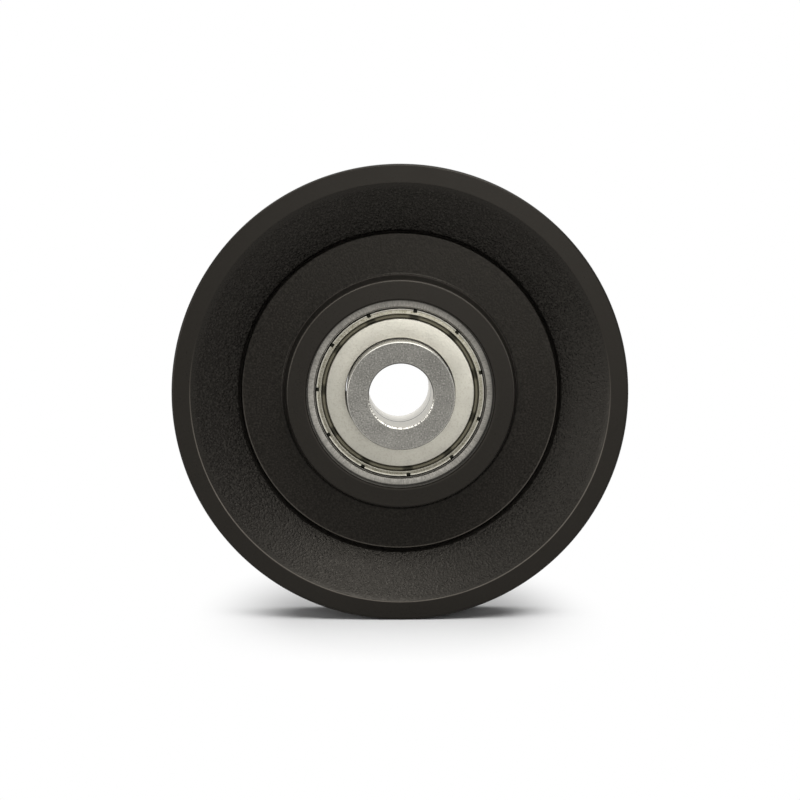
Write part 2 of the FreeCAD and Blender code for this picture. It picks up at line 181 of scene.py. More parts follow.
class Graph:
    """The node tree of one material or world, emptied and filled by code."""

    def __init__(self, owner: Union[bpy.types.Material, bpy.types.World]) -> None:
        """Empties the owner's tree.

        Args:
            owner: the material or world.
        """
        owner.use_nodes = True
        self.tree = owner.node_tree
        self.tree.nodes.clear()

    def add(
        self,
        kind: str,
        settings: Optional[Mapping[str, object]] = None,
        inputs: Optional[Mapping[Union[str, int], Input]] = None,
    ) -> bpy.types.Node:
        """Adds a node of any kind.

        Args:
            kind: the node's type.
            settings: its properties, set first.
            inputs: values or links for its sockets, by name or number.

        Returns:
            The new node.
        """
        node = self.tree.nodes.new(kind)
        for name, setting in (settings or {}).items():
            setattr(node, name, setting)
        for name, given in (inputs or {}).items():
            self.feed(node.inputs[name], given)
        return node

    def feed(self, socket: Socket, given: Input) -> None:
        """Links an output to the socket, or sets the socket's own value.

        Args:
            socket: the input socket.
            given: what it takes.
        """
        if isinstance(given, Number):
            self.tree.links.new(given.socket, socket)
        elif isinstance(given, Socket):
            self.tree.links.new(given, socket)
        else:
            socket.default_value = given

    def place(self) -> Socket:
        """The point on the piece, in the piece's own metres."""
        return self.add("ShaderNodeTexCoord").outputs["Object"]

    def parts(self, vector: Socket) -> tuple[Number, Number, Number]:
        """The x, y and z of a vector."""
        node = self.add("ShaderNodeSeparateXYZ", {}, {0: vector})
        return tuple(Number(self, output) for output in node.outputs)

    def noise(
        self, place: Socket, size: float, detail: float = 2.0, roughness: float = 0.5
    ) -> Number:
        """Soft random mottling.

        Args:
            place: the coordinates.
            size: about how wide one blotch is, in metres.
            detail: how many finer layers are added.
            roughness: how strong the finer layers are.

        Returns:
            A number round 0.5.
        """
        inputs = {"Vector": place, "Scale": 1.0 / size, "Detail": detail, "Roughness": roughness}
        node = self.add("ShaderNodeTexNoise", {}, inputs)
        return Number(self, node.outputs["Fac"])

    def cells(self, place: Socket, size: float, smoothness: float = 0.6) -> Number:
        """Distance from the middles of random cells, for pebbled grain.

        Args:
            place: the coordinates.
            size: about how wide one cell is, in metres.
            smoothness: how much neighbouring cells flow together.

        Returns:
            The distance, 0 at each cell's middle.
        """
        settings = {"feature": "SMOOTH_F1"}
        inputs = {"Vector": place, "Scale": 1.0 / size, "Smoothness": smoothness}
        node = self.add("ShaderNodeTexVoronoi", settings, inputs)
        return Number(self, node.outputs["Distance"])

    def vector(self, x: Term, y: Term, z: Term) -> Socket:
        """A vector from three numbers."""
        return self.add("ShaderNodeCombineXYZ", {}, {0: x, 1: y, 2: z}).outputs[0]

    def blend(self, share: Term, first: Input, second: Input) -> Socket:
        """A colour between two others.

        Args:
            share: 0 for the first colour and 1 for the second.
            first: the first colour, or the socket that carries it.
            second: the second one.

        Returns:
            The mixed colour's socket.
        """
        node = self.add("ShaderNodeMix", {"data_type": "RGBA", "clamp_factor": True})
        self.feed(node.inputs["Factor"], share)
        for name, given in (("A", first), ("B", second)):
            socket = next(s for s in node.inputs if s.name == name and s.type == "RGBA")
            self.feed(socket, given if isinstance(given, Socket) else (*given, 1.0))
        return next(s for s in node.outputs if s.type == "RGBA")

    def seen(self) -> Number:
        """Tells what is seen from what only gives light.

        Returns:
            1 where the camera, a reflection or a glass path looks, and 0 where light is gathered.
        """
        light_path = self.add("ShaderNodeLightPath")
        names = ("Is Camera Ray", "Is Glossy Ray", "Is Transmission Ray")
        rays = [Number(self, light_path.outputs[name]) for name in names]
        return rays[0].largest(rays[1]).largest(rays[2])

    def bump(self, height: Number, depth: float) -> Socket:
        """A normal that follows a relief from 0 to 1 whose full depth is in metres."""
        inputs = {"Strength": 1.0, "Distance": depth, "Height": height}
        return self.add("ShaderNodeBump", {}, inputs).outputs["Normal"]

    def surface(self, inputs: Mapping[str, Input]) -> None:
        """Ends the graph in one Principled shader with these values and links."""
        shader = self.add("ShaderNodeBsdfPrincipled", {}, inputs)
        self.add("ShaderNodeOutputMaterial", {}, {"Surface": shader.outputs[0]})

    def metal(self, colour: Input, roughness: Term, relief: Number, depth: float) -> None:
        """Ends the graph in a metal.

        Args:
            colour: its colour.
            roughness: its roughness.
            relief: its relief, from 0 to 1.
            depth: how deep a relief of 1 is, in metres.
        """
        normal = self.bump(relief, depth)
        inputs = {"Base Color": colour, "Metallic": 1.0, "Roughness": roughness, "Normal": normal}
        self.surface(inputs)


# Finishes: a span says where a smooth step starts and where it ends


@dataclass(frozen=True)
class Finish:
    """A finish: a name, a colour and a gloss, with a graph that subclasses fill."""

    name: str
    colour: Colour
    roughness: float

    def material(self) -> bpy.types.Material:
        """The finish as a material, made once and then shared.

        Returns:
            The material.
        """
        made = bpy.data.materials.get(self.name)
        if made is None:
            made = bpy.data.materials.new(self.name)
            self.fill(Graph(made))
        return made

    def fill(self, graph: Graph) -> None:
        """Fills the graph; every finish has its own way."""
        raise NotImplementedError

    def shade(self, share: float) -> Colour:
        """The finish's colour times a share."""
        return tuple(part * share for part in self.colour)


@dataclass(frozen=True)
class EdgeHighlight:
    """A painted highlight: a pale line on one half of a moulded edge, where its rounding would
    catch the light.
    """

    radius: float
    along: float
    half: Half
    strength: float


@dataclass(frozen=True)
class MouldedNylon(Finish):
    """Black glass-filled nylon: pebbled mould grain, faint flow marks, paler proud faces and
    painted edge highlights.
    """

    grain_depth: float
    specular: float
    speckle: float = 2.8
    sparkle: float = 0.2
    warmth: Colour = (1.0, 0.92, 0.8)
    grain: float = 0.3 * MM
    proud_face: Span = (6.3 * MM, 6.3 * MM + 0.6 * MM)
    line_half: float = 0.08 * MM
    line_soft: float = 0.05 * MM
    line_reach: float = 0.3 * MM
    highlight_half_fade: Span = (-0.35, 0.5)
    highlight_shade: float = 22.0
    # Painted highlight lines: where they lie and on which half of the wheel
    edge_highlights: tuple[EdgeHighlight, ...] = (
        EdgeHighlight(15.68 * MM, 8.0 * MM, Half.LOWER, 0.1),
        EdgeHighlight(18.55 * MM, 8.0 * MM, Half.UPPER, 0.4),
        EdgeHighlight(19.42 * MM, 2.1 * MM, Half.UPPER, 0.25),
        EdgeHighlight(26.08 * MM, 2.1 * MM, Half.LOWER, 0.7),
        EdgeHighlight(34.47 * MM, 6.7 * MM, Half.LOWER, 0.75),
    )

    def fill(self, graph: Graph) -> None:
        """Pebbles of mould grain over broad flow marks; proud faces are paler, and some edges carry
        a painted highlight line on one half.

        Args:
            graph: the material's graph.
        """
        place = graph.place()
        x, y, z = graph.parts(place)
        radius, along = (x * x + z * z).root(), abs(y)
        proud = along.ramp(*self.proud_face)
        fine = graph.noise(place, self.grain, roughness=0.55)
        pebbles = graph.cells(place, self.grain * 1.7)
        flow = graph.noise(place, size=5.0 * MM, detail=3.0, roughness=0.55)
        cloud = graph.noise(place, size=22.0 * MM)
        grained = 1.0 - proud * 0.7
        relief = (fine * 0.7 + pebbles * 0.3) * grained + flow * 0.2
        rough = self.roughness + (flow - 0.5) * 0.1 + (cloud - 0.5) * 0.08
        pale, dark = fine.ramp(0.5, 0.66), fine.ramp(0.5, 0.32)
        colour = graph.blend(cloud.ramp(0.35, 0.7), self.shade(0.85), self.shade(1.15))
        colour = graph.blend(pale * grained * 0.6, colour, self.shade(self.speckle))
        colour = graph.blend(dark * grained * 0.8, colour, self.shade(0.2))
        colour = graph.blend(proud * 0.7, colour, self.shade(1.75))
        # Painted highlights: pale lines on the upper or lower half of some edges, where light would
        # catch their roundings; the flow marks break them up.
        highlight_breakup = (flow - 0.5) * 0.6 + 0.8
        for edge in self.edge_highlights:
            inner, outer = edge.radius - self.line_half, edge.radius + self.line_half
            face = along.ramp(edge.along - self.line_reach, edge.along)
            line = radius.band(inner, outer, self.line_soft) * face
            half = (z * edge.half.value).ramp(*(share * edge.radius for share in self.highlight_half_fade))
            painted_highlight = line * highlight_breakup * half * edge.strength
            colour = graph.blend(painted_highlight, colour, self.shade(self.highlight_shade))
        graph.surface(
            {
                "Base Color": colour,
                "Roughness": rough + (fine - 0.5) * self.sparkle,
                "Specular IOR Level": self.specular,
                "Specular Tint": (*self.warmth, 1.0),
                "Normal": graph.bump(relief, self.grain_depth),
            }
        )


@dataclass(frozen=True)
class GroundSteel(Finish):
    """Bearing steel ground on its faces: fine cross marks over faint rings, and painted shade under
    the wheel's lip at the rim.
    """

    middle: float = 15.0 * MM
    # Painted shade under the wheel's lip, then a painted shadow line in the gap at the lip
    lip_shade_zone: Span = (middle - 0.5 * MM, middle + 0.25 * MM)
    lip_shadow_zone: Span = (middle + 0.12 * MM, middle + 0.26 * MM)

    def fill(self, graph: Graph) -> None:
        """Cross marks that run outwards over faint rings; farther out painted shade, then a dark
        painted shadow line at the lip.

        Args:
            graph: the material's graph.
        """
        place = graph.place()
        x, y, z = graph.parts(place)
        radius = (x * x + z * z).root()
        angle = x.angle_to(z)
        outwards = graph.vector(radius * 0.25, angle * self.middle, y)
        marks = graph.noise(outwards, size=0.16 * MM, roughness=0.6)
        around = graph.vector(radius, angle * (0.6 * MM), y)
        rings = graph.noise(around, size=0.12 * MM, detail=3.0, roughness=0.6)
        cloud = graph.noise(place, size=4.0 * MM, detail=3.0)
        colour = graph.blend(cloud.ramp(0.35, 0.7), self.shade(0.88), self.shade(1.1))
        colour = graph.blend(marks.ramp(0.48, 0.7) * 0.7, colour, self.shade(0.5))
        colour = graph.blend(marks.ramp(0.5, 0.3) * 0.6, colour, self.shade(1.5))
        # Painted shade and shadow towards the rim, where the wheel's lip overhangs the face.
        colour = graph.blend(radius.ramp(*self.lip_shade_zone) * 0.5, colour, self.shade(0.6))
        colour = graph.blend(radius.ramp(*self.lip_shadow_zone), colour, self.shade(0.15))
        rough = self.roughness + (rings - 0.5) * 0.2
        graph.metal(colour, rough, rings * 0.4 + marks * 0.6, depth=0.01 * MM)


@dataclass(frozen=True)
class PolishedSteel(Finish):
    """Lapped and polished ball steel with hairline scratches."""

    def fill(self, graph: Graph) -> None:
        """A bright surface with faint scratches in its gloss.

        Args:
            graph: the material's graph.
        """
        x, y, z = graph.parts(graph.place())
        squeezed = graph.vector(x, y * 9.0, z * 2.0)
        scratches = graph.noise(squeezed, size=0.9 * MM, detail=4.0, roughness=0.7)
        rough = self.roughness + scratches.ramp(0.5, 0.8) * 0.12
        graph.metal((*self.colour, 1.0), rough, scratches, depth=0.002 * MM)


@dataclass(frozen=True)
class PressedSteel(Finish):
    """Pressed and tumbled cage strip: soft dents, oil film and dull gloss."""

    def fill(self, graph: Graph) -> None:
        """Cloudy colour over soft dents.

        Args:
            graph: the material's graph.
        """
        place = graph.place()
        dents = graph.noise(place, size=0.5 * MM, detail=3.0, roughness=0.6)
        film = graph.noise(place, size=2.5 * MM)
        colour = graph.blend(film.ramp(0.3, 0.7), self.shade(0.75), self.shade(1.05))
        graph.metal(colour, self.roughness + (dents - 0.5) * 0.25, dents, depth=0.02 * MM)


@dataclass(frozen=True)
class ShieldSheet(Finish):
    """Zinc-plated shield sheet: warm satin with a faint orange peel and painted shade in its
    channel and notches.
    """

    # The first and last colours are painted shade, for the channel and the notches; the stain is
    # the bead's own.
    channel_shade: Colour = (0.07, 0.063, 0.04)
    stain: Colour = (0.15, 0.138, 0.098)
    notch_shade: Colour = (0.012, 0.012, 0.009)
    channel: Span = (12.28 * MM, 12.92 * MM)
    channel_soft: float = 0.1 * MM
    bead: Span = (13.12 * MM, 13.66 * MM)
    bead_soft: float = 0.06 * MM
    notch_edge: Span = (13.4 * MM - 0.03 * MM, 13.4 * MM)
    notch_sides: Span = (0.962, 0.97)
    shade_blot_sides: Span = (0.55, 0.95)

    def fill(self, graph: Graph) -> None:
        """Satin sheet with painted shade in the channel, darker painted shade at the notches, and a
        stained bead.

        Args:
            graph: the material's graph.
        """
        place = graph.place()
        x, _, z = graph.parts(place)
        radius = (x * x + z * z).root()
        angle = x.angle_to(z)
        turn = ((angle - FIRST_NOTCH) * float(NOTCH_COUNT)).cosine()
        channel = radius.band(*self.channel, self.channel_soft)
        trough = radius.band(*self.bead, self.bead_soft)
        notch = radius.ramp(*self.notch_edge) * turn.ramp(*self.notch_sides)
        peel = graph.noise(place, size=0.3 * MM, roughness=0.45)
        fine = graph.noise(place, size=0.12 * MM)
        cloud = graph.noise(place, size=4.0 * MM, detail=3.0)
        across = graph.vector(radius * 0.5, angle * self.bead[0], 0.0)
        hatch = graph.noise(across, size=0.22 * MM).ramp(0.4, 0.7)
        colour = graph.blend(cloud.ramp(0.3, 0.7), self.shade(0.95), self.shade(1.05))
        colour = graph.blend(peel.ramp(0.48, 0.75) * 0.45, colour, self.shade(0.7))
        # Painted shade in the channel's recess, in blots at the notch angles, and in the notch
        # pits.
        colour = graph.blend(channel * 0.9, colour, self.channel_shade)
        colour = graph.blend(trough * (0.5 + hatch * 0.5), colour, self.stain)
        colour = graph.blend(channel * turn.ramp(*self.shade_blot_sides) * 0.8, colour, self.notch_shade)
        colour = graph.blend(notch, colour, self.notch_shade)
        rough = self.roughness + (fine - 0.5) * 0.14 + channel * 0.12
        graph.metal(colour, rough, peel * 0.7 + fine * 0.3, depth=0.022 * MM)


@dataclass(frozen=True)
class BlastedSteel(Finish):
    """Shot-blasted and plated bush steel: coarse sparkle on the faces, smoother in the bore."""

    bore_wall: Span = (BUSH_BORE + 0.3 * MM, BUSH_BORE + 0.15 * MM)
    bevel_edge: Span = (BUSH_FLANGE - 0.24 * MM, BUSH_FLANGE - 0.16 * MM)
    # Where the painted shade line round the flange's outer edge lies
    rim_shade_edge: Span = (BUSH_FLANGE - 0.1 * MM, BUSH_FLANGE)
    rim_shade_end: Span = (BUSH_FACE - 0.3 * MM, BUSH_FACE)
    mouth_end: Span = (BUSH_FACE - 0.6 * MM, BUSH_FACE - 0.45 * MM)
    joint: Span = (0.5 * MM, 0.3 * MM)
    lower_part: Span = (0.0, 2.0 * MM)

    def fill(self, graph: Graph) -> None:
        """Pits and bright grains on the face; a smooth bore with a dark joint; painted shade lines
        round the flange's edge and the upper half of the bore's mouth, with chatter marks on the
        mouth's lower half.

        Args:
            graph: the material's graph.
        """
        place = graph.place()
        x, y, z = graph.parts(place)
        radius, along = (x * x + z * z).root(), abs(y)
        bore = radius.ramp(*self.bore_wall)
        bevel = radius.ramp(*self.bevel_edge)
        rim = radius.ramp(*self.rim_shade_edge) * along.ramp(*self.rim_shade_end)
        blasted = 1.0 - bore
        coarse = graph.noise(place, size=0.26 * MM, roughness=0.55)
        fine = graph.noise(place, size=0.14 * MM)
        rings = graph.noise(graph.vector(0.0, y, 0.0), size=0.14 * MM)
        cloud = graph.noise(place, size=4.0 * MM)
        pale, dark = coarse.ramp(0.52, 0.72), coarse.ramp(0.48, 0.28)
        colour = graph.blend(cloud.ramp(0.3, 0.7), self.shade(0.9), self.shade(1.1))
        colour = graph.blend(pale * blasted * 0.7, colour, self.shade(1.9))
        colour = graph.blend(dark * blasted * 0.7, colour, self.shade(0.45))
        colour = graph.blend(bevel * 0.85, colour, self.shade(2.8))
        # Painted shade: a thin dark line round the flange's outer edge at its face.
        colour = graph.blend(rim, colour, self.shade(0.3))
        colour = graph.blend(bore * 0.9, colour, self.shade(4.8))
        colour = graph.blend(bore * along.ramp(*self.joint), colour, self.shade(0.25))
        # Painted shade: a dark line round the upper half of the bore's mouth; on the lower half it
        # breaks into chatter marks.
        around = graph.vector(x.angle_to(z) * BUSH_BORE, 0.0, 0.0)
        chatter = graph.noise(around, size=0.3 * MM, detail=1.0).ramp(0.48, 0.56)
        mouth = along.ramp(*self.mouth_end) * bore
        low = (z * -1.0).ramp(*self.lower_part)
        chatter_and_top_shade = mouth * (1.0 - low + chatter * low) * 0.9
        colour = graph.blend(chatter_and_top_shade, colour, self.shade(0.25))
        relief = blasted * (coarse * 0.75 + fine * 0.25) + bore * rings * 0.15
        rough = self.roughness + (fine - 0.5) * 0.2 * blasted - bevel * 0.14
        graph.metal(colour, rough, relief, depth=0.03 * MM)


@dataclass(frozen=True)
class StudioFloor(Finish):
    """Matt white paper that keeps the shadow and turns plain white farther out where it is seen."""

    depth_share: float = 0.5
    shadow_edge: Span = (0.016, 0.036)

    def fill(self, graph: Graph) -> None:
        """Paper near the wheel; farther out plain white for what sees or mirrors it.

        Args:
            graph: the material's graph.
        """
        place = graph.place()
        x, y, _ = graph.parts(place)
        deep = y * self.depth_share
        away = (x * x + deep * deep).root().ramp(*self.shadow_edge)
        fibre = graph.noise(place, size=3.0 * MM, detail=3.0)
        colour = graph.blend(fibre, self.shade(0.99), self.colour)
        paper = graph.add("ShaderNodeBsdfDiffuse", {}, {"Color": colour})
        white = graph.add("ShaderNodeEmission", {}, {"Color": WHITE, "Strength": 1.0})
        mixed = {"Fac": away * graph.seen(), 1: paper.outputs[0], 2: white.outputs[0]}
        both = graph.add("ShaderNodeMixShader", {}, mixed)
        graph.add("ShaderNodeOutputMaterial", {}, {"Surface": both.outputs[0]})


# Turned shapes

FEWEST_STEPS = 3
COARSEST_TURN = math.radians(15)
EDGE_SHARE = 0.48
CRISP = 0.03 * MM
BROKEN = 0.08 * MM
EASED = 0.1 * MM


@dataclass(frozen=True)
class Corner:
    """One corner of a turned outline: distance from the axis, place along it, and rounding."""

    radius: float
    along: float
    rounding: float = 0.05 * MM

    def point(self) -> Vector:
        """The corner's place in the section."""
        return Vector((self.radius, self.along))

    def mirrored(self) -> "Corner":
        """The same corner on the other side of the middle plane."""
        return Corner(self.radius, -self.along, self.rounding)


@dataclass(frozen=True)
class Station:
    """One point of a finished outline with the way that its surface faces."""

    radius: float
    along: float
    facing: Vector


def heading(start: Corner, end: Corner) -> Vector:
    """The unit direction from one corner to the next."""
    return Vector((end.radius - start.radius, end.along - start.along)).normalized()


def turned_left(direction: Vector, angle: float) -> Vector:
    """The direction turned to the left by an angle in radians."""
    (x, y), cosine, sine = direction, math.cos(angle), math.sin(angle)
    return Vector((x * cosine - y * sine, x * sine + y * cosine))


def facing_of(direction: Vector) -> Vector:
    """The side that the surface faces when the outline runs anticlockwise."""
    return Vector((direction.y, -direction.x))


def rounded_corner(before: Corner, corner: Corner, after: Corner, finest: float) -> list[Station]:
    """The points of one corner, as an arc between its two straight edges.

    Args:
        before: the corner before it.
        corner: the corner itself.
        after: the corner after it.
        finest: the longest step along the arc.

    Returns:
        The arc's points in order.
    """
    arriving, leaving = heading(before, corner), heading(corner, after)
    cross = arriving.x * leaving.y - arriving.y * leaving.x
    turn = math.atan2(cross, arriving.dot(leaving))
    here = corner.point()
    room = EDGE_SHARE * min((other.point() - here).length for other in (before, after))
    setback = min(corner.rounding * math.tan(abs(turn) / 2), room)
    bend = setback / math.tan(abs(turn) / 2)
    by_turn, by_length = abs(turn) / COARSEST_TURN, bend * abs(turn) / finest
    steps = max(FEWEST_STEPS, math.ceil(by_turn), math.ceil(by_length))
    side = math.copysign(1.0, turn)
    middle = here - arriving * setback + turned_left(arriving, side * math.pi / 2) * bend
    stations = []
    for step in range(steps + 1):
        direction = turned_left(arriving, turn * step / steps)
        point = middle - turned_left(direction, side * math.pi / 2) * bend
        stations.append(Station(point.x, point.y, facing_of(direction)))
    return stations


def outline(corners: Sequence[Corner], finest: float = 0.3 * MM) -> list[Station]:
    """The whole outline, anticlockwise with the radius to the right.

    Args:
        corners: its corners.
        finest: the longest step along a rounding.

    Returns:
        Its points.
    """
    stations = []
    for index, corner in enumerate(corners):
        after = corners[(index + 1) % len(corners)]
        stations += rounded_corner(corners[index - 1], corner, after, finest)
    return stations


def both_sides(half: Sequence[Corner], middle: Sequence[Corner] = ()) -> list[Corner]:
    """A full outline from its rear half: the front is the same turned over."""
    return [corner.mirrored() for corner in half] + list(middle) + list(reversed(half))


def even_angles(count: int) -> list[float]:
    """Angles spread evenly round a full turn."""
    return [math.tau * index / count for index in range(count)]


def new_piece(
    name: str, points: Sequence[Sequence[float]], faces: Sequence[Sequence[int]]
) -> Piece:
    """Makes a piece and links it to the scene.

    Args:
        name: its name.
        points: where its points lie.
        faces: the numbers of each face's points.

    Returns:
        The new object.
    """
    mesh = bpy.data.meshes.new(name)
    mesh.from_pydata(points, [], faces)
    piece = bpy.data.objects.new(name, mesh)
    bpy.context.scene.collection.objects.link(piece)
    return piece


Reshape = Callable[[float, float, float], tuple[float, float]]


def turned_piece(
    name: str,
    stations: Sequence[Station],
    angles: Sequence[float],
    reshape: Optional[Reshape] = None,
) -> Piece:
    """Turns an outline once round the Y axis.

    Args:
        name: the piece's name.
        stations: the outline's points.
        angles: where its columns stand, clockwise from the top as the photograph shows it.
        reshape: gives a point's radius and place along the axis from its own radius and place
            and the column's angle; without it the piece is the same all round.

    Returns:
        The new object.
    """
    points, normals, faces = [], [], []
    for angle in angles:
        sine, cosine = math.sin(angle), math.cos(angle)
        for station in stations:
            radius, along = station.radius, station.along
            if reshape is not None:
                radius, along = reshape(radius, along, angle)
            points.append((radius * sine, along, radius * cosine))
            facing = station.facing
            normals.append((facing.x * sine, facing.y, facing.x * cosine))
    rows, columns = len(stations), len(angles)
    for column in range(columns):
        near, far = column * rows, (column + 1) % columns * rows
        for row in range(rows):
            following = (row + 1) % rows
            faces.append((near + row, far + row, far + following, near + following))
    piece = new_piece(name, points, faces)
    piece.data.shade_smooth()
    if reshape is None:
        piece.data.normals_split_custom_set_from_vertices(normals)
    piece.data.validate()
    return piece


def dress(piece: Piece, finish: Finish) -> None:
    """Gives the whole piece one finish."""
    piece.data.materials.clear()
    piece.data.materials.append(finish.material())


def stand_for(piece: Piece, body: str, node: str) -> Piece:
    """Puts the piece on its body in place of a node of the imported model.

    Args:
        piece: the piece.
        body: the body that carries it.
        node: the node that it stands for.

    Returns:
        The piece.
    """
    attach(piece, body)
    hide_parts(node)
    log.info("%s rides on %s in place of %s", piece.name, body, node)
    return piece


# Finishes of this pulley

FLAT_NYLON = MouldedNylon(
    "smooth_black_nylon", (0.0068, 0.0061, 0.0052), 0.32, grain_depth=0.04 * MM, specular=0.12
)
DISH_NYLON = MouldedNylon(
    "grained_black_nylon",
    (0.0064, 0.0059, 0.0052),
    0.35,
    grain_depth=0.15 * MM,
    specular=0.16,
    speckle=3.8,
    sparkle=1.0,
)
RING_STEEL = GroundSteel("ground_ring_steel", (0.22, 0.21, 0.188), 0.38)
BALL_STEEL = PolishedSteel("polished_ball_steel", (0.72, 0.72, 0.73), 0.08)
CAGE_STEEL = PressedSteel("pressed_cage_steel", (0.45, 0.43, 0.39), 0.35)
SHIELD_FINISH = ShieldSheet("satin_shield_sheet", (0.375, 0.36, 0.31), 0.34)
BUSH_STEEL = BlastedSteel("blasted_bush_steel", (0.155, 0.15, 0.136), 0.42)
PAPER = StudioFloor("studio_paper", (0.64, 0.64, 0.64), 1.0)


# Sub-assemblies


@dataclass
class Wheel:
    """The moulded wheel: rim, rope groove, dished flanks, web and hub."""

    radius: float = WHEEL_RADIUS
    half_width: float = 7.0 * MM
    rim_inner: float = 34.4 * MM
    rim_rounding: float = 0.5 * MM
    rim_inner_rounding: float = 0.3 * MM
    groove_root: float = 29.8 * MM
    groove_rounding: float = 2.7 * MM
    groove_half_angle: float = math.radians(22.5)
    dish_foot: float = 26.9 * MM
    web_half: float = 2.25 * MM
    crease_width: float = 0.72 * MM
    crease_depth: float = 1.1 * MM
    web_rounding: float = 0.15 * MM
    web_draft: float = 0.28 * MM
    face_draft: float = 0.09 * MM
    hub_half: float = 8.25 * MM
    hub_face: float = 18.6 * MM
    hub_foot: float = 19.45 * MM
    hub_rounding: float = 0.35 * MM
    foot_rounding: float = 0.5 * MM
    lip: float = 15.38 * MM
    lip_chamfer: float = 0.2 * MM
    seat: float = BEARING_RADIUS
    seat_half: float = BEARING_FACE
    columns: int = 360

    def corners(self) -> list[Corner]:
        """The wheel's section, from the bearing's seat outwards and back.

        Returns:
            Its corners.
        """
        groove_centre = self.groove_root + self.groove_rounding
        vertex = groove_centre - self.groove_rounding / math.sin(self.groove_half_angle)
        mouth = (self.radius - vertex) * math.tan(self.groove_half_angle)
        crease_inner = self.dish_foot - self.crease_width
        crease_middle = crease_inner + self.crease_width / 2
        crease_floor = self.web_half - self.crease_depth
        half = [
            Corner(self.seat, self.seat_half),
            Corner(self.lip, self.seat_half),
            Corner(self.lip, self.hub_half - self.lip_chamfer, BROKEN),
            Corner(self.lip + self.lip_chamfer, self.hub_half, BROKEN),
            Corner(self.hub_face, self.hub_half - self.face_draft, self.hub_rounding),
            Corner(self.hub_foot, self.web_half, self.foot_rounding),
            Corner(crease_inner, self.web_half - self.web_draft, self.web_rounding),
            Corner(crease_middle, crease_floor, CRISP),
            Corner(self.dish_foot, self.web_half, EASED),
            Corner(self.rim_inner, self.half_width, self.rim_inner_rounding),
            Corner(self.radius, self.half_width - self.face_draft, self.rim_rounding),
            Corner(self.radius, mouth, self.rim_rounding),
        ]
        return both_sides(half, [Corner(vertex, 0.0, self.groove_rounding)])

    def grain_the_dish(self, piece: Piece) -> None:
        """Gives the dished flanks their coarser grain.

        Args:
            piece: the wheel, dressed in the smooth finish.
        """
        piece.data.materials.append(DISH_NYLON.material())
        grained = len(piece.data.materials) - 1
        for face in piece.data.polygons:
            middle = face.center
            radius = math.hypot(middle.x, middle.z)
            outwards = face.normal.y * middle.y > 0
            if outwards and self.dish_foot < radius < self.rim_inner:
                face.material_index = grained

    def build(self) -> list[Piece]:
        """Builds and dresses the wheel.

        Returns:
            The one piece.
        """
        stations = outline(self.corners())
        piece = turned_piece("moulded_wheel", stations, even_angles(self.columns))
        dress(piece, FLAT_NYLON)
        self.grain_the_dish(piece)
        return [stand_for(piece, Wearer.WHEEL.value, "pulley_wheel")]


